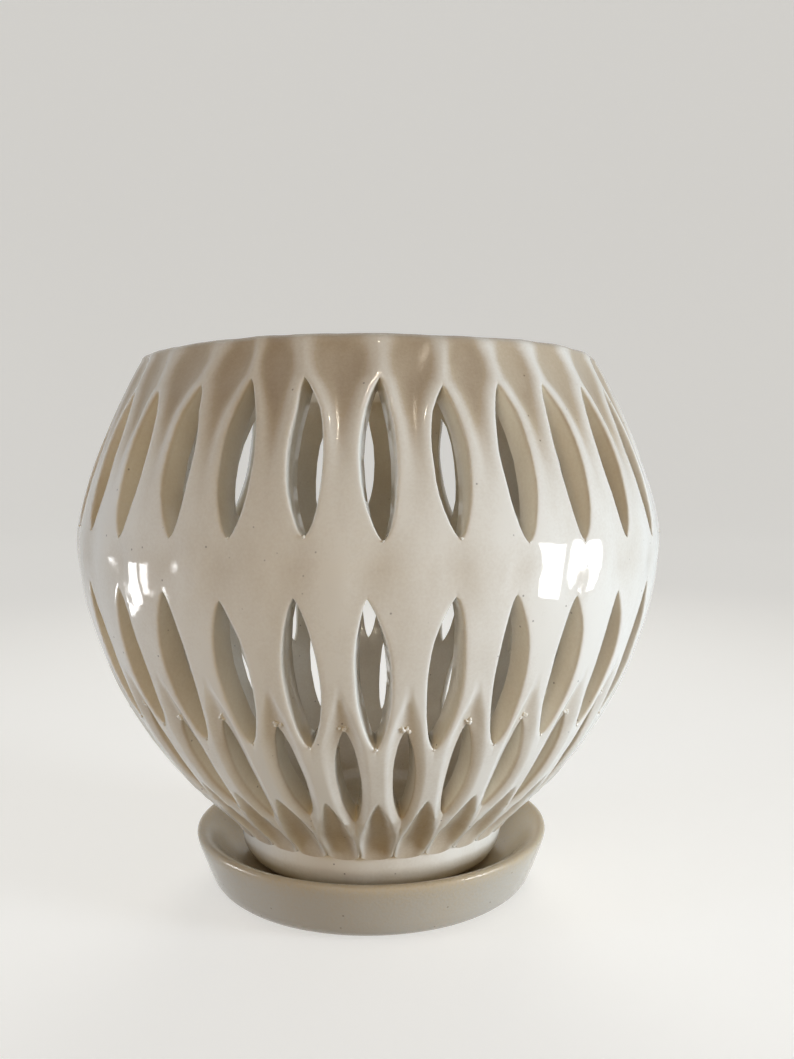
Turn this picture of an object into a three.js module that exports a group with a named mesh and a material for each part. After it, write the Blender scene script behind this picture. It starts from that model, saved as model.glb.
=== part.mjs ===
// Carved orchid pot with its saucer: a round wheel-thrown pot whose wall is pierced by three rows of
// pointed openings and fluted between them, standing on a turned foot in a shallow dish.
// Millimetres, +Z up. The origin is the middle of the saucer's flat underside.
import * as THREE from 'three';

// Saucer: a thrown dish with a flat base, a rounded heel, a flared wall, a rounded lip and an inside
// that sweeps down from the lip to a flat floor.
const saucerBaseRadius = 41;
const saucerHeelRadius = 47;
const saucerHeelHeight = 3.7;
const saucerHeelTurn = 2.6;
const saucerRimRadius = 51.4;
const saucerHeight = 16.8;
const saucerLipWidth = 2;
const saucerLipDrop = 2.6;
const saucerFloor = 8.4;
const saucerInsideTop = 4;
const saucerInsideFoot = 6;
const saucerFacets = 60;
const saucerCurveSteps = 5;

// Pot, with every height counted from the face that it stands on.
const seatGap = 0.3;
const seatMargin = 3;
const ledgeRadius = 41;
const ledgeHeight = 12.2;
const ledgeScallop = 1.3;
const bellyRadius = 82.5;
const bellyHeight = 92.5;
const shoulderRadius = 65.1;
const shoulderHeight = 140.7;
const lipRise = 2.3;
const lipOutside = 3.6;
const lipInside = 2.5;
const rimBand = 6;
const rimBandLean = 1.6;
const wall = 6;
const floorThickness = 9;
const floorRadius = 33;
const floorRound = 3;
const footRadius = 38.6;
const footHeight = 10.2;
const footHeel = 1.5;
const footContactRadius = 34.5;
const footContactWidth = 5.5;
const footInsideLean = 1;
const footRecess = 2.5;
const drainRadius = 7;
const drainRound = 0.8;

// How the thrown wall swells: each value is a share of the reach or the rise of its own curve.
const lowerFlareReach = 0.885;
const lowerFlareRise = 0.39;
const lowerSwell = 0.13;
const upperSwell = 0.1;
const upperFullReach = 0.78;
const upperFullDrop = 0.51;

// Carving. One pitch is the angle from one opening to the next in its row. The two upper rows and the
// ledge flutes share their axes, and the foot row and the rim flutes lie half a pitch on. Each shape
// is a pointed lens on the wall: a bottom and a top height, and a full width halfway up.
const openingsPerRow = 30;
const upperOpening = { bottom: 96, top: 132, width: 8.2 };
const lowerOpening = { bottom: 47.5, top: 83.5, width: 8.2 };
const footOpening = { bottom: 25, top: 52.5, width: 5.8 };
const upperScoop = { bottom: 95, top: 133.5, width: 11, depth: 1.2 };
const lowerScoop = { bottom: 46, top: 84.5, width: 11, depth: 1.3 };
const footScoop = { bottom: 21, top: 62, width: 10.4, depth: 1.8 };
const ledgeFlute = { bottom: -8, top: 31.7, width: 8.6, depth: 2.6 };
const rimFlute = { bottom: 106, depth: 1.4 };
const cutTaper = 0.9;
const rowSpacing = 7.2;
const closeEnough = 1e-6;

const pitch = (2 * Math.PI) / openingsPerRow;
const potBase = saucerFloor + seatGap;

// The thrown outer wall: one curve from the ledge up to the belly and one on to the shoulder.
const bellyReach = bellyRadius - ledgeRadius;
const lowerRise = bellyHeight - ledgeHeight;
const shoulderDraw = bellyRadius - shoulderRadius;
const upperRise = shoulderHeight - bellyHeight;
const lowerWall = new THREE.CubicBezierCurve(
  new THREE.Vector2(ledgeRadius, ledgeHeight),
  new THREE.Vector2(ledgeRadius + lowerFlareReach * bellyReach, ledgeHeight + lowerFlareRise * lowerRise),
  new THREE.Vector2(bellyRadius, bellyHeight - lowerSwell * lowerRise),
  new THREE.Vector2(bellyRadius, bellyHeight),
);
const upperWall = new THREE.CubicBezierCurve(
  new THREE.Vector2(bellyRadius, bellyHeight),
  new THREE.Vector2(bellyRadius, bellyHeight + upperSwell * upperRise),
  new THREE.Vector2(
    shoulderRadius + upperFullReach * shoulderDraw,
    shoulderHeight - upperFullDrop * upperRise,
  ),
  new THREE.Vector2(shoulderRadius, shoulderHeight),
);

// Point and outward normal of the thrown wall at a height, found by halving along its curve.
function wallAt(height) {
  const curve = height < bellyHeight ? lowerWall : upperWall;
  let low = 0;
  let high = 1;
  while (high - low > closeEnough) {
    const middle = (low + high) / 2;
    if (curve.getPoint(middle).y < height) low = middle;
    else high = middle;
  }
  const along = curve.getTangent(low);
  return { radius: curve.getPoint(low).x, height, outRadius: along.y, outHeight: -along.x };
}

// The point a depth inside the thrown wall, square to it.
function pointUnder(base, depth) {
  return { radius: base.radius - depth * base.outRadius, height: base.height - depth * base.outHeight };
}

// Half width of a pointed lens at a height: two shallow arcs that meet in its tips.
function halfWidth(lens, height) {
  const middle = (lens.bottom + lens.top) / 2;
  const share = (2 * (height - middle)) / (lens.top - lens.bottom);
  return Math.abs(share) > 1 - closeEnough ? 0 : (lens.width / 2) * (1 - share * share);
}

// Depth of a round-bottomed scoop at a distance from its axis. It gets shallower towards its tips.
function scoopDepth(scoop, height, distance) {
  const reach = halfWidth(scoop, height);
  if (distance >= reach) return 0;
  return scoop.depth * Math.sqrt(reach / (scoop.width / 2)) * (1 - (distance / reach) ** 2);
}

const onAxisScoops = [upperScoop, lowerScoop, ledgeFlute];

// Rim flutes are shallow waves that start between the upper openings, spread as the scoops close over
// the tips and leave a rounded ridge above each opening.
function rimFluteDepth(fromAxis, height, across) {
  const climb = THREE.MathUtils.clamp((height - rimFlute.bottom) / (upperScoop.top - rimFlute.bottom), 0, 1);
  const ridge = halfWidth(upperScoop, height);
  const share = Math.max(fromAxis - ridge, 0) / (across / 2 - ridge);
  return (rimFlute.depth * climb * (1 - Math.cos(Math.PI * share))) / 2;
}

// Carved depth at a place round the wall, counted in pitches from an opening's axis.
function carvedDepth(place, height, radius) {
  const across = pitch * radius;
  const fromAxis = Math.min(place, 1 - place) * across;
  return Math.max(
    ...onAxisScoops.map((scoop) => scoopDepth(scoop, height, fromAxis)),
    scoopDepth(footScoop, height, Math.abs(place - 0.5) * across),
    rimFluteDepth(fromAxis, height, across),
  );
}

// The pot is one closed skin of rings. A ring lists its points by place, once round the pot.
const potPoints = [];
const potFaces = [];

function makeRing(places, pointAt, open = { onAxis: 0, offAxis: 0 }) {
  const points = [];
  for (let turn = 0; turn < openingsPerRow; turn += 1) {
    for (const place of places) {
      const { radius, height } = pointAt(place);
      const angle = (turn + place) * pitch;
      points.push({ place: turn + place, index: potPoints.length / 3 });
      potPoints.push(radius * Math.sin(angle), -radius * Math.cos(angle), potBase + height);
    }
  }
  return { points, open };
}

// The stretch of a ring between two places, which may pass the start of the ring.
function stretch(ring, from, to) {
  const found = [];
  for (const shift of [-openingsPerRow, 0, openingsPerRow]) {
    for (const point of ring.points) {
      const place = point.place + shift;
      if (place > from - closeEnough && place < to + closeEnough) found.push({ place, index: point.index });
    }
  }
  return found.sort((one, other) => one.place - other.place);
}

// Joins two stretches, one above the other, with triangles that face out.
function joinStretches(lower, upper) {
  const share = (line, at) => (line[at].place - line[0].place) / (line.at(-1).place - line[0].place);
  let left = 0;
  let right = 0;
  while (left < lower.length - 1 || right < upper.length - 1) {
    const stepLower = right === upper.length - 1
      || (left < lower.length - 1 && share(lower, left + 1) <= share(upper, right + 1));
    if (stepLower) {
      potFaces.push(lower[left].index, lower[left + 1].index, upper[right].index);
      left += 1;
    } else {
      potFaces.push(lower[left].index, upper[right + 1].index, upper[right].index);
      right += 1;
    }
  }
}

// Joins a ring to the next one, leaving out the openings that either of them meets.
function joinRings(lower, upper) {
  const onAxis = lower.open.onAxis > 0 || upper.open.onAxis > 0;
  const offAxis = lower.open.offAxis > 0 || upper.open.offAxis > 0;
  const edges = (ring, turn) => ({
    start: turn + ring.open.onAxis,
    beforeHalf: turn + 0.5 - ring.open.offAxis,
    afterHalf: turn + 0.5 + ring.open.offAxis,
    end: turn + 1 - ring.open.onAxis,
  });
  for (let turn = 0; turn < openingsPerRow; turn += 1) {
    const low = edges(lower, turn);
    const high = edges(upper, turn);
    if (offAxis && onAxis) {
      joinStretches(stretch(lower, low.start, low.beforeHalf), stretch(upper, high.start, high.beforeHalf));
      joinStretches(stretch(lower, low.afterHalf, low.end), stretch(upper, high.afterHalf, high.end));
    } else if (offAxis) {
      joinStretches(
        stretch(lower, low.afterHalf, low.beforeHalf + 1),
        stretch(upper, high.afterHalf, high.beforeHalf + 1),
      );
    } else {
      joinStretches(stretch(lower, low.start, low.end), stretch(upper, high.start, high.end));
    }
  }
}

// Heights of the wall's rings over the ledge: every tip that matters, evenly divided between them.
const tipHeights = [
  ledgeHeight, ledgeFlute.top, footScoop.bottom, footScoop.top, bellyHeight, shoulderHeight,
  ...[upperOpening, lowerOpening, footOpening].flatMap((opening) => [opening.bottom, opening.top]),
].sort((one, other) => one - other);
const ringHeights = [];
for (let tip = 1; tip < tipHeights.length; tip += 1) {
  const from = tipHeights[tip - 1];
  const to = tipHeights[tip];
  const steps = Math.ceil((to - from) / rowSpacing);
  for (let step = 1; step < steps; step += 1) ringHeights.push(from + ((to - from) * step) / steps);
  ringHeights.push(to);
}

function openAt(height, radius, narrower) {
  const across = pitch * radius;
  const onAxis = Math.max(halfWidth(upperOpening, height), halfWidth(lowerOpening, height));
  const offAxis = halfWidth(footOpening, height);
  return { onAxis: (onAxis * narrower) / across, offAxis: (offAxis * narrower) / across };
}

// The crest beside a scoop, between the ones on the openings' axes and those half a pitch on. Under
// the rim it is the ridge itself, and where flutes take the whole wall it is halfway up their sides.
function crestPlace(height, across) {
  const onReach = Math.min(Math.max(...onAxisScoops.map((scoop) => halfWidth(scoop, height))) / across, 0.5);
  const offReach = Math.min(halfWidth(footScoop, height) / across, 0.5);
  if (height > rimFlute.bottom) return onReach;
  return offReach > 0 || height > ledgeFlute.top ? (onReach + 0.5 - offReach) / 2 : onReach / 2;
}

// Places of an outer ring's points in one pitch: the edges of what is open, or its axis, and the crests.
const rimPlaces = [0, 1 / 6, 1 / 3, 1 / 2, 2 / 3, 5 / 6];
function outerPlaces(height, open, crest) {
  if (height > upperOpening.top) return rimPlaces;
  const start = open.onAxis > 0 ? [open.onAxis] : [0];
  const half = open.offAxis > 0 ? [0.5 - open.offAxis, 0.5 + open.offAxis] : [0.5];
  const end = open.onAxis > 0 ? [1 - open.onAxis] : [];
  return [...start, crest, ...half, 1 - crest, ...end];
}

// The smooth inner wall needs only the edges of what is open, the tips, and two points where it is closed.
function innerPlaces(height, open) {
  const closed = open.onAxis === 0 && open.offAxis === 0;
  const tips = [upperOpening.bottom, upperOpening.top, lowerOpening.bottom, lowerOpening.top];
  const places = closed ? [0, 0.5] : [];
  if (!closed && tips.includes(height)) places.push(0);
  if (open.onAxis > 0) places.push(open.onAxis, 1 - open.onAxis);
  if (open.offAxis > 0) places.push(0.5 - open.offAxis, 0.5 + open.offAxis);
  if (open.onAxis > 0 && height === footOpening.top) places.push(0.5);
  return places.sort((one, other) => one - other);
}

// Outer rings follow the carving.
function outerRing(height) {
  const base = wallAt(height);
  const open = openAt(height, base.radius, 1);
  const places = outerPlaces(height, open, crestPlace(height, pitch * base.radius));
  return makeRing(places, (place) => pointUnder(base, carvedDepth(place, height, base.radius)), open);
}

// Inner rings lie one wall thickness in, and the knife leaves the openings narrower there.
function innerRing(height) {
  const base = wallAt(height);
  const open = openAt(height, base.radius, 1 - (2 * cutTaper) / upperOpening.width);
  return makeRing(innerPlaces(height, open), () => pointUnder(base, wall), open);
}

function plainRing(radius, height) {
  return makeRing([0, 0.5], () => ({ radius, height }));
}

// At the ledge the flutes run out on the foot in rounded ends, lower than the ridges between them.
const ledgeRing = makeRing([0, 0.25, 0.5, 0.75], (place) => {
  const share = 1 - (2 * Math.min(place, 1 - place)) ** 2;
  return {
    radius: THREE.MathUtils.lerp(ledgeRadius, footRadius, share),
    height: ledgeHeight - ledgeScallop * share,
  };
});
const outerRings = ringHeights.map(outerRing);
const pierced = (height) => height >= footOpening.bottom && height <= upperOpening.top;
const innerHeights = ringHeights.filter(pierced);
const innerRings = innerHeights.map(innerRing);

// The lip rolls over from the waved shoulder to a plain band inside the rim.
const lipCrest = shoulderRadius - lipOutside;
const lipRings = [0.25, 0.5, 0.75].map((share) => makeRing(rimPlaces, (place) => {
  const roll = Math.PI * share;
  const wave = carvedDepth(place, shoulderHeight, shoulderRadius) * (1 - share) ** 2;
  return {
    radius: lipCrest + (share < 0.5 ? lipOutside : lipInside) * Math.cos(roll) - wave,
    height: shoulderHeight + lipRise * Math.sin(roll) - wave * share,
  };
}));
const bandTop = plainRing(lipCrest - lipInside, shoulderHeight);
const bandFoot = plainRing(lipCrest - lipInside + rimBandLean, shoulderHeight - rimBand);

// Inside: the round from the wall to the floor, the drain hole, and the recess within the foot.
const innerLedge = pointUnder(wallAt(ledgeHeight), wall);
const floorCurve = new THREE.QuadraticBezierCurve(
  new THREE.Vector2(innerLedge.radius, innerLedge.height),
  new THREE.Vector2(floorRadius, floorThickness),
  new THREE.Vector2(floorRadius - floorRound, floorThickness),
);
const ringsAlong = (curve, shares) => shares.map((share) => {
  const point = curve.getPoint(share);
  return plainRing(point.x, point.y);
});
const footInside = footContactRadius - footContactWidth;
const insideRings = [
  ...ringsAlong(floorCurve, [0, 0.5, 1]),
  plainRing(drainRadius + drainRound, floorThickness),
  plainRing(drainRadius, floorThickness - drainRound),
  plainRing(drainRadius, footRecess),
  plainRing(footInside - footInsideLean, footRecess),
  plainRing(footInside, 0),
];

// The foot's side curves out from the face that it stands on.
const footSide = new THREE.QuadraticBezierCurve(
  new THREE.Vector2(footContactRadius, 0),
  new THREE.Vector2(footRadius, footHeel),
  new THREE.Vector2(footRadius, footHeight),
);
const footRings = ringsAlong(footSide, [0, 0.25, 0.5, 1]);

const outside = [ledgeRing, ...outerRings, ...lipRings];
const inside = [bandTop, bandFoot, ...[...innerRings].reverse(), ...insideRings];
const loop = [...outside, ...inside, ...footRings];
loop.forEach((ring, at) => joinRings(ring, loop[(at + 1) % loop.length]));

// The knife-cut sides of the openings join the outer edges to the inner ones.
function cutSides(opening, side, offset) {
  const crossed = (height) => height >= opening.bottom && height <= opening.top;
  const outer = outerRings.filter((ring, at) => crossed(ringHeights[at]));
  const inner = innerRings.filter((ring, at) => crossed(innerHeights[at]));
  for (let turn = 0; turn < openingsPerRow; turn += 1) {
    for (const way of [1, -1]) {
      const edge = (ring) => {
        const place = turn + offset + way * ring.open[side];
        return stretch(ring, place, place)[0].index;
      };
      for (let at = 1; at < outer.length; at += 1) {
        const corners = [edge(outer[at - 1]), edge(outer[at]), edge(inner[at]), edge(inner[at - 1])];
        if (way < 0) corners.reverse();
        potFaces.push(corners[0], corners[1], corners[2], corners[0], corners[2], corners[3]);
      }
    }
  }
}
cutSides(upperOpening, 'onAxis', 0);
cutSides(lowerOpening, 'onAxis', 0);
cutSides(footOpening, 'offAxis', 0.5);

const potShape = new THREE.BufferGeometry();
potShape.setAttribute('position', new THREE.Float32BufferAttribute(potPoints, 3));
potShape.setIndex(potFaces);

// Saucer outline, from the axis under the base, round the heel, up the flared wall, over the lip and
// down the sweep inside to the floor, which is flat under the pot's foot.
const saucerCrest = saucerRimRadius - saucerLipWidth;
const saucerFlat = footContactRadius + seatMargin;
const saucerOutline = new THREE.Path();
saucerOutline.moveTo(0, 0);
saucerOutline.lineTo(saucerBaseRadius, 0);
saucerOutline.quadraticCurveTo(saucerHeelRadius - saucerHeelTurn, 0, saucerHeelRadius, saucerHeelHeight);
saucerOutline.lineTo(saucerRimRadius, saucerHeight - saucerLipDrop);
saucerOutline.quadraticCurveTo(saucerRimRadius, saucerHeight, saucerCrest, saucerHeight);
saucerOutline.bezierCurveTo(
  saucerCrest - saucerInsideTop,
  saucerHeight,
  saucerFlat + saucerInsideFoot,
  saucerFloor,
  saucerFlat,
  saucerFloor,
);
saucerOutline.lineTo(0, saucerFloor);
const saucerShape = new THREE.LatheGeometry(saucerOutline.getPoints(saucerCurveSteps), saucerFacets);
saucerShape.rotateX(Math.PI / 2);

const potGlaze = new THREE.MeshStandardMaterial({ color: 0xd9d2c4, roughness: 0.18, metalness: 0 });
const saucerGlaze = new THREE.MeshStandardMaterial({ color: 0xcfc7b8, roughness: 0.3, metalness: 0 });

const pot = new THREE.Mesh(potShape, potGlaze);
pot.name = 'pot';
const saucer = new THREE.Mesh(saucerShape, saucerGlaze);
saucer.name = 'saucer';

const orchidPot = new THREE.Group();
orchidPot.add(saucer, pot);

export default orchidPot;
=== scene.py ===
import math
import bpy
import numpy as np
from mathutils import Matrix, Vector, noise


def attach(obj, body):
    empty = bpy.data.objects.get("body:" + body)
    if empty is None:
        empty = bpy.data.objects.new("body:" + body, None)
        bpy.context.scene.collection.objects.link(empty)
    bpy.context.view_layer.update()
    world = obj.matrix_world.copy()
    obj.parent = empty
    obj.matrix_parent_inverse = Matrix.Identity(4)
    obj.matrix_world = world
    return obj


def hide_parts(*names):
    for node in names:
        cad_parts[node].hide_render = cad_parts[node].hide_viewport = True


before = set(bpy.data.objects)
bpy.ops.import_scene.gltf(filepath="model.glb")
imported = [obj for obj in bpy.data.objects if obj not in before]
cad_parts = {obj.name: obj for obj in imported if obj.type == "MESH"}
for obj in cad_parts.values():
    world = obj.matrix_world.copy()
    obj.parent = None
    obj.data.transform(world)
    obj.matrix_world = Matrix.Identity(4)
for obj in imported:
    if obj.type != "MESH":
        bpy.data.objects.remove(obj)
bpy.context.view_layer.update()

# Saucer: a shallow dish thrown on the wheel in the same buff stoneware as the pot. It has a turned flat
# base left bare, a wall that flares, a rounded lip, and an inside that sweeps down to a flat floor.
MM = 0.001
SAUCER_SEGMENTS = 160
SAUCER_OUTLINE = [  # radius and height of each ring in mm, from the middle of the base round to the floor
    (20, 0), (34, 0), (40.2, 0.02), (41.6, 0.12), (43.2, 0.5), (44.7, 1.2), (46.0, 2.3), (46.9, 3.6),
    (47.75, 5.6), (48.65, 7.8), (49.5, 10.0), (50.25, 12.0), (50.85, 13.6), (51.2, 14.8), (51.36, 15.7),
    (51.2, 16.35), (50.75, 16.7), (50.1, 16.8), (49.4, 16.7), (48.6, 16.35), (47.5, 15.6), (46.2, 14.4),
    (44.8, 12.9), (43.3, 11.4), (41.7, 10.1), (40.0, 9.15), (38.4, 8.62), (37.0, 8.42), (30, 8.4), (14, 8.4),
]


def linear(code, alpha=1.0):
    """A colour written as an sRGB hex value, as Blender's linear red, green, blue and alpha."""
    parts = [int(code[i:i + 2], 16) / 255 for i in (1, 3, 5)]
    return tuple(c / 12.92 if c <= 0.04045 else ((c + 0.055) / 1.055) ** 2.4 for c in parts) + (alpha,)


def put(tree, kind, inputs=None, **settings):
    """Adds a node with its settings. An input is given by name or place, as a plain value or as the
    output of another node."""
    node = tree.nodes.new("ShaderNode" + kind)
    for name, value in settings.items():
        setattr(node, name, value)
    for socket, value in (inputs or {}).items():
        if isinstance(value, bpy.types.NodeSocket):
            tree.links.new(value, node.inputs[socket])
        else:
            node.inputs[socket].default_value = value
    return node


def glazed_stoneware(name, thick, thin_and_shade, starved, clay, speck, gloss, satin, speck_size, speck_share, mottle,
                     sandy, grit, relief):
    """Dipped and fired glaze over buff stoneware. Where it lies thick it is pale and glossy, over edges
    and in cuts it runs thinner and lets the warm clay through, and iron in the clay melts up as dark specks.
    Sizes of specks, grit and relief are in mm. A point attribute for the glaze runs from thick at 0 over
    thinner at a half to starved at 1, and in the belt's hollows it also carries painted shade. bare is 1 where
    the glaze was wiped off."""
    material = bpy.data.materials.new(name)
    material.use_nodes = True
    tree = material.node_tree
    tree.nodes.clear()
    place = put(tree, "TexCoord").outputs["Object"]
    thinness_and_shade = put(tree, "Attribute", attribute_name="thin_and_shade").outputs["Fac"]
    wiped = put(tree, "Attribute", attribute_name="bare").outputs["Fac"]
    # Glaze pools and runs in soft streaks about 17 mm wide and 45 mm long.
    drawn = put(tree, "Mapping", {"Vector": place, "Scale": (1.0, 1.0, 0.38)}).outputs[0]
    clouds = put(tree, "TexNoise", {"Vector": drawn, "Scale": 58.0, "Detail": 3.0,
                                    "Roughness": 0.55}).outputs["Fac"]
    cloudy = put(tree, "MapRange", {"Value": clouds, "From Min": 0.35, "From Max": 0.7,
                                    "To Min": -mottle, "To Max": mottle}).outputs["Result"]
    grain = put(tree, "TexNoise", {"Vector": place, "Scale": 1400.0, "Detail": 2.0}).outputs["Fac"]
    grainy = put(tree, "MapRange", {"Value": grain, "From Min": 0.3, "From Max": 0.7,
                                    "To Min": -sandy, "To Max": sandy}).outputs["Result"]
    uneven = put(tree, "Math", {0: cloudy, 1: grainy}, operation="ADD").outputs[0]
    share = put(tree, "Math", {0: thinness_and_shade, 1: uneven}, operation="ADD", use_clamp=True).outputs[0]
    first = put(tree, "MapRange", {"Value": share, "From Max": 0.5}).outputs["Result"]
    second = put(tree, "MapRange", {"Value": share, "From Min": 0.5}).outputs["Result"]
    glaze = put(tree, "Mix", {0: first, 6: linear(thick), 7: linear(thin_and_shade)}, data_type="RGBA").outputs[2]
    glaze = put(tree, "Mix", {0: second, 6: glaze, 7: linear(starved)}, data_type="RGBA").outputs[2]
    # Iron specks under half a millimetre across, a few to each square centimetre.
    cells = put(tree, "TexVoronoi", {"Vector": place, "Scale": 1.0 / (speck_size * 6 * MM)})
    dot = put(tree, "MapRange", {"Value": cells.outputs["Distance"], "From Min": 0.05, "From Max": 0.12,
                                 "To Min": 1.0, "To Max": 0.0}).outputs["Result"]
    chance = put(tree, "SeparateColor", {0: cells.outputs["Color"]}).outputs[0]
    chosen = put(tree, "Math", {0: chance, 1: speck_share}, operation="LESS_THAN").outputs[0]
    speckled = put(tree, "Math", {0: dot, 1: chosen}, operation="MULTIPLY").outputs[0]
    faint = put(tree, "Math", {0: speckled, 1: 0.6}, operation="MULTIPLY").outputs[0]
    glaze = put(tree, "Mix", {0: faint, 6: glaze, 7: linear(speck)}, data_type="RGBA").outputs[2]
    colour = put(tree, "Mix", {0: wiped, 6: glaze, 7: linear(clay)}, data_type="RGBA").outputs[2]
    shine = put(tree, "MapRange", {"Value": share, "To Min": gloss, "To Max": satin}).outputs["Result"]
    roughness = put(tree, "Mix", {0: wiped, 2: shine, 3: 0.85}).outputs[0]
    # The glaze has a faint orange-peel swell 4 mm across, and the clay's grit lifts it where it is thin.
    swell = put(tree, "TexNoise", {"Vector": place, "Scale": 250.0, "Detail": 1.0}).outputs["Fac"]
    swelling = put(tree, "Bump", {"Strength": 0.06, "Distance": 0.0006, "Height": swell}).outputs[0]
    grains = put(tree, "TexNoise", {"Vector": place, "Scale": 1 / (grit * MM), "Detail": 2.0}).outputs["Fac"]
    lifted = put(tree, "Math", {0: grains, 1: share}, operation="MULTIPLY").outputs[0]
    rough = put(tree, "Bump", {"Distance": relief * MM, "Height": lifted, "Normal": swelling}).outputs[0]
    surface = put(tree, "BsdfPrincipled", {"Base Color": colour, "Roughness": roughness, "IOR": 1.5,
                                           "Normal": rough})
    out = put(tree, "OutputMaterial")
    tree.links.new(surface.outputs[0], out.inputs[0])
    return material


def paint(piece, name, values):
    """Keeps one number for each point of the mesh, for the material to read."""
    attribute = piece.data.attributes.get(name) or piece.data.attributes.new(name, "FLOAT", "POINT")
    attribute.data.foreach_set("value", np.asarray(values, np.float32))


def points_of(piece):
    """The mesh's points in mm, one row each."""
    found = np.zeros(len(piece.data.vertices) * 3)
    piece.data.vertices.foreach_get("co", found)
    return found.reshape(-1, 3) / MM


def move_points(piece, places):
    piece.data.vertices.foreach_set("co", (np.asarray(places) * MM).ravel())
    piece.data.update()


# The base is a disc, and each ring of the outline is extruded from the one before and drawn to its radius.
bpy.ops.object.select_all(action="DESELECT")
bpy.ops.mesh.primitive_circle_add(vertices=SAUCER_SEGMENTS, radius=SAUCER_OUTLINE[0][0] * MM, fill_type="NGON")
saucer = bpy.context.active_object
saucer.name = "thrown_saucer"
bpy.ops.object.mode_set(mode="EDIT")
bpy.ops.mesh.select_all(action="SELECT")
for (radius, height), (last_radius, last_height) in zip(SAUCER_OUTLINE[1:], SAUCER_OUTLINE):
    bpy.ops.mesh.extrude_region_move(TRANSFORM_OT_translate={"value": (0, 0, (height - last_height) * MM)})
    draw = radius / last_radius
    bpy.ops.transform.resize(value=(draw, draw, 1), center_override=(0, 0, height * MM))
bpy.ops.mesh.select_all(action="SELECT")
bpy.ops.mesh.normals_make_consistent(inside=False)
bpy.ops.object.mode_set(mode="OBJECT")

# A dish off the wheel is never quite round, and its lip rises and falls by a fraction of a millimetre.
at = points_of(saucer)
turn = np.arctan2(at[:, 0], -at[:, 1])
rise = np.clip((at[:, 2] - 3) / 13, 0, 1) * (np.hypot(at[:, 0], at[:, 1]) > 36)
out_of_round = 1 - rise * (0.0022 + 0.0012 * np.cos(2 * turn + 0.7) + 0.001 * np.cos(3 * turn + 2.0))
at[:, 0] *= out_of_round
at[:, 1] *= out_of_round
at[:, 2] -= rise * (0.12 + 0.12 * np.sin(2 * turn + 1.1))
move_points(saucer, at)
# The glaze lies thin on the lip and ran thin down the inside, and the base was wiped bare.
ring = np.arange(len(at)) // SAUCER_SEGMENTS
paint(saucer, "thin_and_shade", np.interp(
    ring, (0, 7, 11, 13, 15, 18, 20, 23, 29), (0.2, 0.06, 0.1, 0.24, 0.42, 0.44, 0.28, 0.3, 0.34)))
paint(saucer, "bare", np.interp(ring, (0, 2, 3), (1, 1, 0)))
bpy.ops.object.shade_smooth_by_angle(angle=math.radians(40))
# Satin glaze: it breaks the light more softly than the pot's, and the thin lip shows crowded fine specks.
# Its thick glaze is a little greyer than the pot's and is painted darker besides: partly its own colour,
# partly painted shade.
saucer.data.materials.append(glazed_stoneware(
    "saucer glazed stoneware, dipped", thick="#BFB9AB", thin_and_shade="#C4B292", starved="#94795A", clay="#BFA27C",
    speck="#6E5A45", gloss=0.1, satin=0.1, speck_size=0.5, speck_share=0.35, mottle=0.07, sandy=0.1,
    grit=0.8, relief=0.2,
))
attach(saucer, "saucer")
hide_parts("saucer")

# Pot: one thrown stoneware body. Its wall was carved with a loop tool into scoops and flutes while it was
# leather hard, pierced with a knife in three rows of pointed openings, bisque fired, glazed and fired again.
# One half of one pitch of the wall is modelled, mirrored, and turned round the axis.
# Sizes are in mm, and heights count from the pot's base. A cut is given by the heights of its two tips and
# its width. A scoop or a flute also has its depth and a figure for how full its hollow is.
POT_BASE = 8.7
OPENINGS = 30
PITCH = 2 * math.pi / OPENINGS
WALL = 6.0
LEDGE_RADIUS, LEDGE_HEIGHT, LEDGE_SCALLOP = 41.0, 12.2, 1.9
BELLY_RADIUS, BELLY_HEIGHT = 82.5, 92.5
SHOULDER_RADIUS, SHOULDER_HEIGHT = 65.1, 140.7
LIP_RISE, LIP_OUTSIDE, LIP_INSIDE = 2.3, 3.6, 2.5
UPPER_CUT, LOWER_CUT, FOOT_CUT = (96, 132, 8.2), (47.5, 83.5, 8.2), (25, 52.5, 5.8)
UPPER_SCOOP, LOWER_SCOOP, FOOT_SCOOP = (95, 133.5, 11, 1.2, 2), (46, 84.5, 11, 1.3, 2), (21, 62, 10.4, 1.8, 2)
LEDGE_FLUTE = (-8, 31.7, 10.4, 2.6, 2.6)
RIM_FLUTE_FOOT, RIM_FLUTE_DEPTH, RIM_FLUTE_FADE = 106, 1.4, 136
CREST_ROUND = 0.25
LOWER_TIP_BLUNTNESS, UPPER_TIP_BLUNTNESS = 0.7, 0.88
BELT_WAVE, BELT_MIDDLE, BELT_REACH = 0.5, 89.5, 12
KNIFE_TAPER = 0.78  # how much of its width an opening keeps on the inside of the wall

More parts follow.
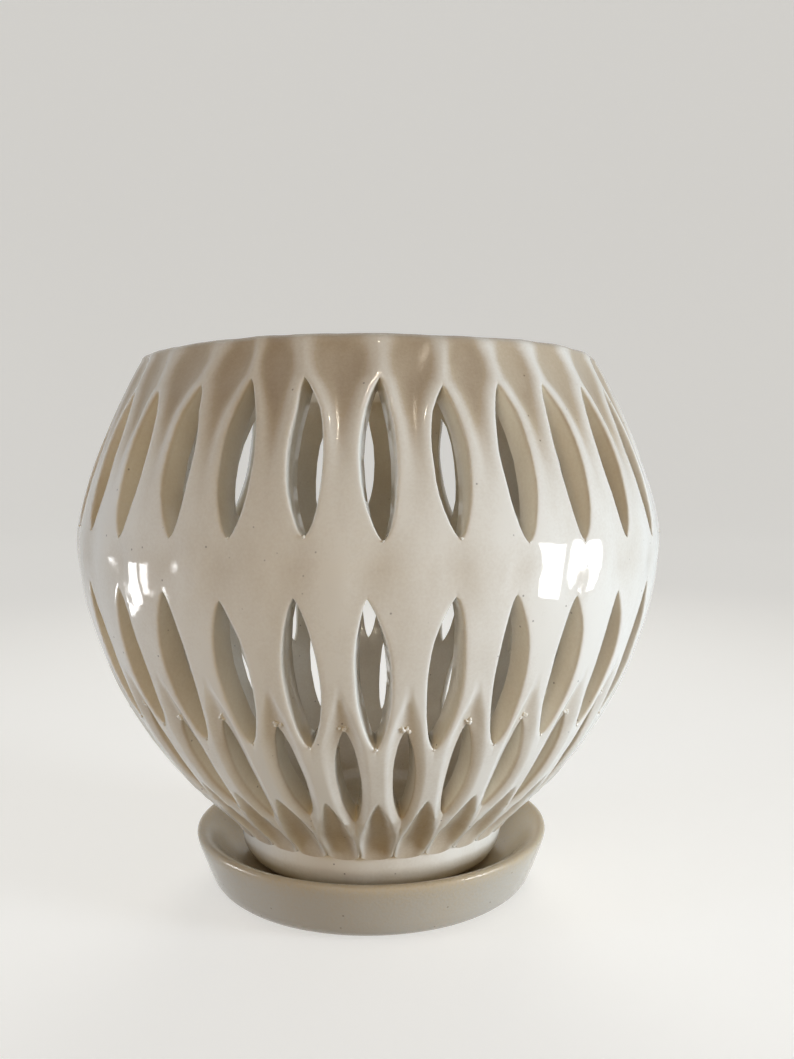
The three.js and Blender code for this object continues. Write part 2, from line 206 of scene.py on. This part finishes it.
# The thrown wall is one curve from the ledge to the belly and one on to the shoulder.
REACH, RISE = BELLY_RADIUS - LEDGE_RADIUS, BELLY_HEIGHT - LEDGE_HEIGHT
DRAW, CLIMB = BELLY_RADIUS - SHOULDER_RADIUS, SHOULDER_HEIGHT - BELLY_HEIGHT
share = np.linspace(0, 1, 801)[:, None]
bend = [(1 - share) ** 3, 3 * share * (1 - share) ** 2, 3 * share ** 2 * (1 - share), share ** 3]
lower = sum(b * np.array(p) for b, p in zip(bend, [
    (LEDGE_RADIUS, LEDGE_HEIGHT), (LEDGE_RADIUS + 0.885 * REACH, LEDGE_HEIGHT + 0.39 * RISE),
    (BELLY_RADIUS, BELLY_HEIGHT - 0.13 * RISE), (BELLY_RADIUS, BELLY_HEIGHT)]))
upper = sum(b * np.array(p) for b, p in zip(bend, [
    (BELLY_RADIUS, BELLY_HEIGHT), (BELLY_RADIUS, BELLY_HEIGHT + 0.1 * CLIMB),
    (SHOULDER_RADIUS + 0.78 * DRAW, SHOULDER_HEIGHT - 0.51 * CLIMB), (SHOULDER_RADIUS, SHOULDER_HEIGHT)]))
thrown = np.vstack([lower, upper[1:]])
slope = np.gradient(thrown, axis=0)
slope /= np.hypot(slope[:, 0], slope[:, 1])[:, None]


def thrown_wall(height):
    """Radius of the thrown wall at a height, and its outward normal as radius and height."""
    radius, up, out = (
        np.interp(height, thrown[:, 1], line) for line in (thrown[:, 0], -slope[:, 0], slope[:, 1]))
    return radius, out, up


def half_width(lens, height):
    """Half the width of a pointed lens shape at a height: two shallow arcs that meet in its tips."""
    across = (2 * height - lens[0] - lens[1]) / (lens[1] - lens[0])
    bluntness = np.where(across < 0, LOWER_TIP_BLUNTNESS, UPPER_TIP_BLUNTNESS)
    return np.where(abs(across) < 1, lens[2] / 2 * np.maximum(1 - across ** 2, 0) ** bluntness, 0.0)


def scoop_depth(scoop, height, distance):
    """Depth of a scoop at a distance from its axis. It gets shallower towards its tips, and the last of
    its sizes says how full its hollow is."""
    edge = np.maximum(half_width(scoop, height), 1e-6)
    depth = scoop[3] * np.sqrt(edge / (scoop[2] / 2)) * (1 - (distance / edge) ** scoop[4])
    return np.where(distance < edge, depth, 0.0)


def belt_wave(place, height):
    """The plain belt keeps a faint swell: hollow between the openings' tips, full beside them."""
    near = np.clip(1 - abs(height - BELT_MIDDLE) / BELT_REACH, 0, 1)
    return BELT_WAVE * near * (1 + np.cos(2 * math.pi * place)) / 2


def carved_depth(place, height, radius):
    """Depth of the carving at a place, counted in pitches from the axis of an upper opening. Where two
    cuts meet, the sponge and the glaze have rounded the crest between them."""
    across = PITCH * radius
    aside = place * across
    climb = np.clip((height - RIM_FLUTE_FOOT) / (UPPER_SCOOP[1] - RIM_FLUTE_FOOT), 0, 1)
    fade = 1 - 0.4 * np.clip((height - RIM_FLUTE_FADE) / (SHOULDER_HEIGHT - RIM_FLUTE_FADE), 0, 1) ** 2
    ridge = half_width(UPPER_SCOOP, height)
    wave = np.maximum(aside - ridge, 0) / (across / 2 - ridge)
    depth = 0 * aside
    for cut in [scoop_depth(s, height, aside) for s in (UPPER_SCOOP, LOWER_SCOOP, LEDGE_FLUTE)] + [
            scoop_depth(FOOT_SCOOP, height, (0.5 - place) * across),
            RIM_FLUTE_DEPTH * climb * fade * (
                0.5 * np.sin(math.pi / 2 * wave) + 0.25 - 0.25 * np.cos(math.pi * wave ** 0.65)),
            belt_wave(place, height)]:
        depth = (depth + cut + np.sqrt((depth - cut) ** 2 + CREST_ROUND ** 2) - CREST_ROUND) / 2
    return depth


# Heights of the rows of points: every tip of a shape, closer rows near the tips of the openings, and
# about 3 mm between the others.
LOWEST_ROW, ROW_STEP = 18.6, 3.3
tips = sorted({
    LOWEST_ROW, *FOOT_CUT[:2], *LOWER_CUT[:2], *UPPER_CUT[:2], LEDGE_FLUTE[1], FOOT_SCOOP[1], BELLY_HEIGHT,
    RIM_FLUTE_FOOT, SHOULDER_HEIGHT})
rows = [tips[0]]
for low, high in zip(tips, tips[1:]):
    steps = max(1, round((high - low) / ROW_STEP))
    rows += [low + (high - low) * i / steps for i in range(1, steps + 1)]
close_rows = [25.5, 26.5, 30.2, 31.1, 32.4, 46.3, 48, 49, 52, 51, 82, 83, 84.7, 94.8, 96.5, 97.5, 130.5,
              131.5, 133.2]
rows = sorted(set(np.round(rows + close_rows, 3)))
rows = [h for i, h in enumerate(rows) if h in tips or h in close_rows or (
    min(abs(h - c) for c in close_rows) > 0.9)]
through = [h for h in rows if FOOT_CUT[0] <= h <= UPPER_CUT[1]]
inner_rows = [h for i, h in enumerate(through) if h in tips or i % 2]

# Places of the points across half a pitch: four hug each edge, where the glaze rounds the knife's cut.
HUG = np.array([0, 0.09, 0.28, 0.75])
CURL = np.array([0.42, 0.13, 0.02, 0])
COLUMNS = 13


def line_across(height, keep, curl):
    """Places across half a pitch between the openings, and how far each point rolls into the cut. Away
    from an opening the points that hug its side spread out again."""
    radius = float(thrown_wall(height)[0])
    across = PITCH * radius
    on_cut = max(half_width(UPPER_CUT, height), half_width(LOWER_CUT, height)) * keep
    off_cut = half_width(FOOT_CUT, height) * keep
    left, right = on_cut, across / 2 - off_cut
    fit = min(1.0, (right - left) / 3.0)
    low, high = left + HUG[-1] * fit, right - HUG[-1] * fit
    on_edge = max(float(half_width(s, height)) for s in (UPPER_SCOOP, LOWER_SCOOP, LEDGE_FLUTE))
    crest = (on_edge + across / 2 - float(half_width(FOOT_SCOOP, height))) / 2
    crest = np.clip(crest, low + 0.3 * (high - low), high - 0.3 * (high - low))
    hugging = np.concatenate([
        left + HUG * fit, np.linspace(low, crest, 4)[1:], np.linspace(crest, high, 4)[1:-1],
        (right - HUG * fit)[::-1]])
    even = np.concatenate([np.linspace(left, crest, 7), np.linspace(crest, right, 7)[1:]])
    on_far = min(abs(height - tip) for tip in UPPER_CUT[:2] + LOWER_CUT[:2]) if on_cut == 0 else 0
    off_far = min(abs(height - tip) for tip in FOOT_CUT[:2]) if off_cut == 0 else 0
    spread = np.interp(np.arange(COLUMNS), (0, 6, 12), (min(1, on_far / 6), 0.5, min(1, off_far / 6)))
    places = hugging + (even - hugging) * spread
    roll = np.concatenate([CURL * min(1, on_cut / 0.9), np.zeros(5), CURL[::-1] * min(1, off_cut / 0.9)])
    return places / across, roll * curl


def carved_row(height):
    places, roll = line_across(height, 1.0, 1.0)
    radius, out, up = thrown_wall(height)
    depth = carved_depth(places, height, radius)
    deep = depth + roll
    scraped = np.clip(depth / np.interp(height, (20, 32, 118, 132, 140.7), (1.5, 1.2, 1.1, 0.9, 0.6)), 0, 1)
    tan = np.interp(height, (16, 28, 40, 60, 80, 104, 120, 150), (0.36, 0.34, 0.2, 0.3, 0.2, 0.2, 0.44, 0.44))
    crest = np.interp(height, (112, 136), (0.03, 0.16))
    thin_and_shade = crest + tan * scraped ** 2 * (3 - 2 * scraped) + 0.2 * roll
    # Painted shade: the belt's shallow hollows between the openings' tips are painted a little tanner.
    thin_and_shade = thin_and_shade + 0.2 * belt_wave(places, height)
    thin_and_shade = thin_and_shade + 0.16 * (2 * places) ** 2 * np.interp(height, (98, 115, 128, 136), (0, 1, 1, 0))
    return places, radius - deep * out, height - deep * up, thin_and_shade, np.zeros_like(roll)


def inner_row(height):
    places, roll = line_across(height, KNIFE_TAPER, 0.6)
    radius, out, up = thrown_wall(height)
    deep = WALL - roll
    return places, radius - deep * out, height - deep * up, np.full_like(roll, 0.2), np.zeros_like(roll)


def plain_row(radius, height, thin_and_shade=0.2, bare=0.0):
    places = np.linspace(0, 0.5, COLUMNS)
    same = np.ones_like(places)
    return places, same * radius, same * height, same * thin_and_shade, same * bare


strip = []
# Below the lowest opening each flute runs down the wall and out on the foot in a rounded end.
top_places, top_radius, top_height, top_thin, _ = carved_row(LOWEST_ROW)
hollow = 1 - (2 * top_places) ** 2
end_radius = LEDGE_RADIUS - 1.1 * hollow
end_height = LEDGE_HEIGHT - LEDGE_SCALLOP * np.sqrt(hollow)
_, wall_out, wall_up = thrown_wall(15.0)
reach_down = (top_radius - end_radius) * (1 - 0.16 * hollow)
knee_radius = top_radius - reach_down
knee_height = top_height - reach_down * wall_out / -wall_up
strip.append((top_places, end_radius - 0.5, end_height - 0.15, top_thin * 0 + 0.1, top_thin * 0))
LEDGE_STEPS = (0, 0.1, 0.25, 0.42, 0.6, 0.8)
for step in LEDGE_STEPS:
    a, b, c = (1 - step) ** 2, 2 * step * (1 - step), step ** 2
    strip.append((
        top_places, a * end_radius + b * knee_radius + c * top_radius,
        a * end_height + b * knee_height + c * top_height, top_thin, top_thin * 0,
    ))
first_outer = len(strip)
strip += [carved_row(h) for h in rows]
# The lip rolls over half a circle, and below it inside is a plain band.
for share in (0.12, 0.25, 0.4, 0.5, 0.65, 0.82):
    roll = math.pi * share
    places = line_across(SHOULDER_HEIGHT, 1, 0)[0]
    wave = carved_depth(places, SHOULDER_HEIGHT, SHOULDER_RADIUS) * (1 - share) ** 2
    wide = LIP_OUTSIDE if share < 0.5 else LIP_INSIDE
    strip.append((
        places, SHOULDER_RADIUS - LIP_OUTSIDE + wide * math.cos(roll) - wave,
        SHOULDER_HEIGHT + LIP_RISE * math.sin(roll) - wave * share,
        strip[-1][3] * (1 - share) + 0.42 * share, 0 * places,
    ))
strip += [plain_row(59.0, SHOULDER_HEIGHT), plain_row(60.3, 135.6), plain_row(60.6, 134.7, 0.35)]
first_inner = len(strip)
strip += [inner_row(h) for h in reversed(inner_rows)]
inner_foot = thrown_wall(LEDGE_HEIGHT)
start = np.array([inner_foot[0] - WALL * inner_foot[1], LEDGE_HEIGHT - WALL * inner_foot[2]])
corner, finish = np.array([33.0, 9.0]), np.array([30.0, 9.0])
strip += [plain_row(*(start * (1 - s) ** 2 + corner * 2 * s * (1 - s) + finish * s ** 2), 0.4)
          for s in (0, 0.33, 0.66, 1)]
strip += [plain_row(r, h, 0.4, b) for r, h, b in (
    (20, 9, 0), (8.6, 9, 0), (7.8, 8.95, 0), (7.2, 8.7, 0), (7, 8.2, 0), (7, 2.8, 0.5), (7.3, 2.5, 1),
    (28, 2.5, 1), (28.9, 0.2, 1), (29.3, 0, 1), (34.0, 0, 1), (34.6, 0.12, 1))]
strip += [plain_row(r, h, t) for r, h, t in (
    (35.6, 0.7, 0.5), (36.9, 2.2, 0.3), (37.9, 4.4, 0.1), (38.4, 7.0, 0.02), (38.6, 9.4, 0),
    (38.6, 10.5, 0.05))]
strip.append(strip[0])

# The strip starts as a flat grid, and its points are laid on the rows.
bpy.ops.object.select_all(action="DESELECT")
bpy.ops.mesh.primitive_grid_add(x_subdivisions=COLUMNS - 1, y_subdivisions=len(strip) - 1, size=1.0)
pot = bpy.context.active_object
pot.name = "carved_pot"
flat = points_of(pot) * MM
column = np.round((flat[:, 0] + 0.5) * (COLUMNS - 1)).astype(int)
row = np.round((flat[:, 1] + 0.5) * (len(strip) - 1)).astype(int)
table = np.array([[np.broadcast_to(part, (COLUMNS,)) for part in line] for line in strip])
place, radius, height, thin_and_shade, mark = (table[row, part, column] for part in range(5))
angle = place * PITCH
move_points(pot, np.stack([radius * np.sin(angle), -radius * np.cos(angle), POT_BASE + height], axis=1))
paint(pot, "thin_and_shade", thin_and_shade)
paint(pot, "bare", mark)


def chain(cut, outer):
    """Numbers of the rows that an opening crosses on the outer or the inner wall."""
    heights = rows if outer else inner_rows
    crossed = [i for i, h in enumerate(heights) if cut[0] <= h <= cut[1]]
    return {first_outer + i if outer else first_inner + len(inner_rows) - 1 - i for i in crossed}


# The knife's cut through the wall: each opening's outer edge is bridged to its inner edge.
corners = len(pot.data.vertices)
for cut, side in ((UPPER_CUT, 0), (LOWER_CUT, 0), (FOOT_CUT, COLUMNS - 1)):
    wanted = [{i for i in range(corners) if column[i] == side and row[i] in chain(cut, outer)}
              for outer in (True, False)]
    for part in (pot.data.vertices, pot.data.edges, pot.data.polygons):
        part.foreach_set("select", np.zeros(len(part), bool))
    for edge in pot.data.edges:
        a, b = edge.vertices
        edge.select = any(a in ends and b in ends for ends in wanted)
    bpy.ops.object.mode_set(mode="EDIT")
    bpy.ops.mesh.select_mode(type="EDGE")
    bpy.ops.mesh.bridge_edge_loops(interpolation="LINEAR", number_cuts=1)
    bpy.ops.object.mode_set(mode="OBJECT")
# The bridge's middle points are drawn out to just behind the edge, so that the glaze changes there from
# that of the rounded edge to that of the cut.
BEHIND_EDGE = 0.16
at = points_of(pot)
ends = np.zeros((len(at), 2, 3))
for edge in pot.data.edges:
    a, b = sorted(edge.vertices)
    if a < corners <= b:
        ends[b, int(row[a] >= first_inner)] = at[a]
cut_points = np.arange(len(at)) >= corners
at[cut_points] = ends[cut_points, 0] * (1 - BEHIND_EDGE) + ends[cut_points, 1] * BEHIND_EDGE
move_points(pot, at)
thin_and_shade = np.zeros(len(pot.data.vertices), np.float32)
pot.data.attributes["thin_and_shade"].data.foreach_get("value", thin_and_shade)
paint(pot, "thin_and_shade", np.where(cut_points, 0.1, thin_and_shade))
# Tips that carry a burr or a bead of glaze later are marked: 1 over the foot openings, 2 under the others.
marks = np.zeros(len(cut_points))
marks[:corners] += (column == COLUMNS - 1) & (row == first_outer + rows.index(FOOT_CUT[1]))
marks[:corners] += 2.0 * (column == 0) * np.isin(
    row, [first_outer + rows.index(cut[0]) for cut in (LOWER_CUT, UPPER_CUT)])
paint(pot, "tip", marks)

# The strip is mirrored, and the whole pitch is turned round the axis to make all thirty.
bpy.ops.object.mode_set(mode="EDIT")
bpy.ops.mesh.select_all(action="SELECT")
bpy.ops.mesh.duplicate()
bpy.ops.transform.resize(value=(-1, 1, 1), center_override=(0, 0, 0))
bpy.ops.mesh.select_all(action="SELECT")
bpy.ops.mesh.remove_doubles(threshold=0.01 * MM)
bpy.ops.mesh.select_all(action="SELECT")
bpy.ops.mesh.spin(
    steps=OPENINGS - 1, dupli=True, angle=PITCH * (OPENINGS - 1), center=(0, 0, 0), axis=(0, 0, 1))
bpy.ops.mesh.select_all(action="SELECT")
bpy.ops.mesh.remove_doubles(threshold=0.01 * MM)
bpy.ops.mesh.normals_make_consistent(inside=False)
bpy.ops.object.mode_set(mode="OBJECT")

# Everything was laid out and cut by eye, so rows lean a degree one way or the other between their tips.
# The noise that the hand's strays come from is seeded, so that each run gives the same pot.
noise.seed_set(2)
LEAN = [(12, 0.5), (25, 0.45), (50, -0.4), (84, -1.05), (96, 0.65), (132, -0.1), (143, -0.1)]
at = points_of(pot)
above = at[:, 2] - POT_BASE
for size, amount in ((26, 0.3), (7, 0.16)):  # the thrown wall's wobble: its size and amount in mm
    at += [amount * noise.noise_vector(point / size) for point in map(Vector, at)]
reach = np.hypot(at[:, 0], at[:, 1])
turn = np.arctan2(at[:, 0], -at[:, 1])
turn += np.radians(np.interp(above, *zip(*LEAN)))
# No two openings are cut alike: each tip strays up to about a degree and two millimetres.
TIP_ASIDE, TIP_CLIMB, TIP_REACH = 1.3, 2.4, 9
aside, climb = 0 * turn, 0 * turn
for line, (cut, half) in enumerate(((FOOT_CUT, 0.5), (LOWER_CUT, 0), (UPPER_CUT, 0))):
    number = np.round(turn / PITCH - half) % OPENINGS
    off = (turn / PITCH - half + 0.5) % 1 - 0.5
    stray = np.array([
        [noise.noise_vector(Vector((7.3 * k, 5.1 * line + 2.6 * tip + 0.4, 0.7))) for tip in (0, 1)]
        for k in range(OPENINGS)])[number.astype(int)]
    for tip in (0, 1):
        near = np.exp(-((above - cut[tip]) / TIP_REACH) ** 2) * np.cos(math.pi * off) ** 2
        aside += TIP_ASIDE * near * stray[:, tip, 0]
        climb += TIP_CLIMB * near * stray[:, tip, 1]
turn += np.radians(aside)
# The rim ridges were carved freehand and wander a few degrees from the openings under them.
rim_share = np.clip((above - 126) / 14, 0, 1) * (reach > 60)
turn += np.radians(rim_share * (2.0 * np.sin(7.5 * turn) + 0.8 * np.sin(11 * turn + 1.3)))
# The rise and fall follow the wall's own slope, so that no swelling comes of them.
reach += (np.interp(above + climb, thrown[:, 1], thrown[:, 0])
          - np.interp(above, thrown[:, 1], thrown[:, 0]))
at[:, 0], at[:, 1], at[:, 2] = reach * np.sin(turn), -reach * np.cos(turn), at[:, 2] + climb
# The hand's strays stay this much inside the widest and the highest place of the solid.
CLEAR = 0.05
at[:, :2] *= np.minimum(1, (BELLY_RADIUS - CLEAR) / np.maximum(reach, 1))[:, None]
at[:, 2] = np.minimum(at[:, 2], POT_BASE + SHOULDER_HEIGHT + LIP_RISE - CLEAR)
move_points(pot, at)
bpy.ops.object.shade_smooth_by_angle(angle=math.radians(50))
# Glossy cream glaze: pale and wet looking where it is thick, warm tan in the scoops, flutes and cuts.
pot.data.materials.append(glazed_stoneware(
    "pot glazed stoneware, carved and dipped", thick="#F0ECE0", thin_and_shade="#C1B095", starved="#8F7758",
    clay="#BFA27C", speck="#5E4A38", gloss=0.05, satin=0.25, speck_size=0.45, speck_share=0.14, mottle=0.09,
    sandy=0.03, grit=0.45, relief=0.06,
))
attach(pot, "pot")
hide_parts("pot")

# Burrs and beads: the knife pushed up crumbs of clay where each foot opening was closed at its top, and
# they were fired in place. Glaze also gathered as small beads in the bottoms of the other openings.
marks = np.zeros(len(pot.data.vertices), np.float32)
pot.data.attributes["tip"].data.foreach_get("value", marks)
pot.data.attributes.remove(pot.data.attributes["tip"])
bpy.ops.object.select_all(action="DESELECT")
CRUMBS_AT_A_TIP = 5
crumbs = []
for number in np.flatnonzero(marks > 0.5):
    tip = pot.data.vertices[number].co / MM
    aside = Vector((-tip.y, tip.x, 0)).normalized()
    for k in range(CRUMBS_AT_A_TIP if marks[number] < 1.5 else 1):
        chance = noise.noise_vector(tip * 0.37 + Vector((3.1 * k, 1.7 * k, 0.9)))
        if marks[number] < 1.5:
            spot = tip + aside * 1.8 * chance.x + Vector((0, 0, 0.6 + 1.8 * chance.y))
            size = 0.38 + 0.5 * abs(chance.z)
        else:
            spot = tip + aside * 0.3 * chance.x + Vector((0, 0, 0.1))
            size = 0.3 + 0.35 * abs(chance.z)
        _, spot, _, _ = pot.closest_point_on_mesh(spot * MM)
        crumbs.append((spot, size))
spot, size = crumbs[0]
bpy.ops.mesh.primitive_ico_sphere_add(subdivisions=2, radius=size * MM, location=(0, 0, 0))
burrs = bpy.context.active_object
burrs.name = "burrs_and_beads"
bpy.ops.object.mode_set(mode="EDIT")
bpy.ops.transform.translate(value=spot)
for spot, size in crumbs[1:]:
    bpy.ops.mesh.primitive_ico_sphere_add(subdivisions=2, radius=size * MM, location=spot)
bpy.ops.object.mode_set(mode="OBJECT")
# Each crumb is knocked out of round.
at = points_of(burrs)
at += [0.25 * noise.noise_vector(point / 0.55) for point in map(Vector, at)]
at[:, :2] *= np.minimum(1, (BELLY_RADIUS - CLEAR) / np.hypot(at[:, 0], at[:, 1]))[:, None]
move_points(burrs, at)
paint(burrs, "thin_and_shade", np.full(len(at), 0.1))
paint(burrs, "bare", np.zeros(len(at)))
bpy.ops.object.shade_smooth()
burrs.data.materials.append(pot.data.materials[0])
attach(burrs, "pot")

# Table and backdrop: pale seamless paper that lies flat under the pot and sweeps up into a round wall, far
# enough off to show no edge. It is the stage and no part of the object.
bpy.ops.object.select_all(action="DESELECT")
bpy.ops.mesh.primitive_circle_add(vertices=96, radius=1.4, fill_type="NGON")
paper = bpy.context.active_object
paper.name = "paper_sweep"
bpy.ops.object.mode_set(mode="EDIT")
bpy.ops.mesh.select_all(action="SELECT")
swept = [(1.4 + 0.7 * math.sin(a), 0.7 - 0.7 * math.cos(a)) for a in np.radians(np.arange(0, 91, 7.5))]
swept.append((2.1, 2.2))
for (radius, height), (last_radius, last_height) in zip(swept[1:], swept):
    bpy.ops.mesh.extrude_region_move(TRANSFORM_OT_translate={"value": (0, 0, height - last_height)})
    draw = radius / last_radius
    bpy.ops.transform.resize(value=(draw, draw, 1), center_override=(0, 0, height))
# The cap that closes the last ring is taken away.
bpy.ops.mesh.delete(type="ONLY_FACE")
bpy.ops.mesh.select_all(action="SELECT")
bpy.ops.mesh.normals_make_consistent(inside=True)
bpy.ops.object.mode_set(mode="OBJECT")
bpy.ops.object.shade_smooth()
sheet = bpy.data.materials.new("seamless paper, matt")
sheet.use_nodes = True
sheet.node_tree.nodes.clear()
matt = put(sheet.node_tree, "BsdfPrincipled", {"Base Color": linear("#C4C2BD"), "Roughness": 0.9})
rays = put(sheet.node_tree, "LightPath")
seen = put(sheet.node_tree, "Math", {0: rays.outputs["Is Camera Ray"], 1: rays.outputs["Is Glossy Ray"]},
           operation="ADD")
lift = put(sheet.node_tree, "Math", {0: seen.outputs[0], 1: 0.6}, operation="MULTIPLY")
glow = put(sheet.node_tree, "Emission", {"Color": linear("#F6F5F2"), "Strength": lift.outputs[0]})
paper_surface = put(sheet.node_tree, "AddShader", {0: matt.outputs[0], 1: glow.outputs[0]})
sheet.node_tree.links.new(paper_surface.outputs[0], put(sheet.node_tree, "OutputMaterial").inputs[0])
paper.data.materials.append(sheet)

# Room light: an even pale surround, white to the camera and in reflections.
room = bpy.data.worlds.new("pale studio")
bpy.context.scene.world = room
room.use_nodes = True
room.node_tree.nodes.clear()
rays = put(room.node_tree, "LightPath")
seen = put(room.node_tree, "Math", {0: rays.outputs["Is Camera Ray"], 1: rays.outputs["Is Glossy Ray"]},
           operation="ADD")
seen = put(room.node_tree, "Math", {0: seen.outputs[0], 1: rays.outputs["Is Transmission Ray"]},
           operation="ADD", use_clamp=True)
fill = put(room.node_tree, "Background", {"Color": linear("#F6F2E8"), "Strength": 0.22})
white = put(room.node_tree, "Background", {"Color": (1, 1, 1, 1), "Strength": 1.0})
both = put(room.node_tree, "MixShader", {0: seen.outputs[0], 1: fill.outputs[0], 2: white.outputs[0]})
room.node_tree.links.new(both.outputs[0], put(room.node_tree, "OutputWorld").inputs[0])


AIM_HEIGHT = 0.098


def lamp(name, azimuth, distance, height, width, tall, strength, colour, fan=180):
    """A rectangular lamp aimed at the belly, its place in metres. Azimuth counts in degrees
    from the camera's side to the right. Strength 1 is as bright as white paper in plain light. A grid on
    the lamp narrows its fan of light, given in degrees, and takes light away without making it brighter."""
    light = bpy.data.lights.new(name, "AREA")
    light.shape = "RECTANGLE"
    light.size, light.size_y = width, tall
    half = math.radians(fan / 2)
    light.spread = 2 * half
    light.energy = strength * width * tall * math.pi * (1 - half / math.tan(half) if fan < 180 else 1)
    light.color = linear(colour)[:3]
    holder = bpy.data.objects.new(name, light)
    bpy.context.scene.collection.objects.link(holder)
    turn = math.radians(azimuth)
    holder.location = (distance * math.sin(turn), -distance * math.cos(turn), height)
    holder.rotation_euler = (math.radians(90) - math.atan2(height - AIM_HEIGHT, distance), 0, turn)
    holder.visible_camera = False
    return holder


# Two softboxes to the sides with grids that keep their light off the table, a warm one low behind the
# camera, and one behind the pot for its far side.
for name, azimuth, distance, height, width, tall, strength, colour, fan in (
    ("left_softbox", -76, 0.8, 0.16, 0.24, 0.24, 14.6, "#CFE2FF", 76),
    ("right_softbox", 67, 0.8, 0.15, 0.24, 0.24, 40.5, "#E0EDFF", 76),
    ("front_softbox", -10, 0.9, 0.24, 0.5, 0.35, 2.75, "#FFD28A", 180),
    ("back_softbox", 172, 0.9, 0.42, 0.5, 0.35, 10.0, "#F8F6F2", 70),
):
    lamp(name, azimuth, distance, height, width, tall, strength, colour, fan).visible_glossy = False
# The window panes are only there to be mirrored in the glaze of the belly.
for name, azimuth, height, width, tall in (
    ("left_pane_a", -87.5, 0.044, 0.052, 0.054), ("left_pane_b", -75.5, 0.051, 0.026, 0.038),
    ("right_pane_a", 58.5, 0.073, 0.058, 0.084), ("right_pane_b", 72.0, 0.079, 0.030, 0.074),
):
    lamp(name, azimuth, 0.26, height, width, tall, 15.0, "#FFFFFF").visible_diffuse = False

# A small warm lamp over the camera is mirrored as short glints on the rim and sparks on the saucer's lip.
lamp("ceiling_glint", 4, 0.3, 0.43, 0.012, 0.012, 200.0, "#FFF3DE").visible_diffuse = False

# Camera: 29 cm from the pot's axis, 2 cm above the height of the belly, looking 3.5 degrees down. Its
# distance from lens to film, fitted to the photograph, is 1000 pixels where the frame is 1059 high.
FRAME_HEIGHT, LENS_IN_PIXELS, FILM_HEIGHT = 1059, 1000, 36
view = bpy.data.cameras.new("camera")
view.sensor_fit = "VERTICAL"
view.sensor_height = FILM_HEIGHT
view.lens = FILM_HEIGHT * LENS_IN_PIXELS / FRAME_HEIGHT
view.clip_start = 0.01
watcher = bpy.data.objects.new("camera", view)
watcher.location = (-0.00513, -0.29396, 0.1207)
watcher.rotation_euler = (math.radians(90 - 3.51), math.radians(0.17), math.radians(-2.52))
bpy.context.scene.collection.objects.link(watcher)
bpy.context.scene.camera = watcher
bpy.context.scene.view_settings.view_transform = "Standard"
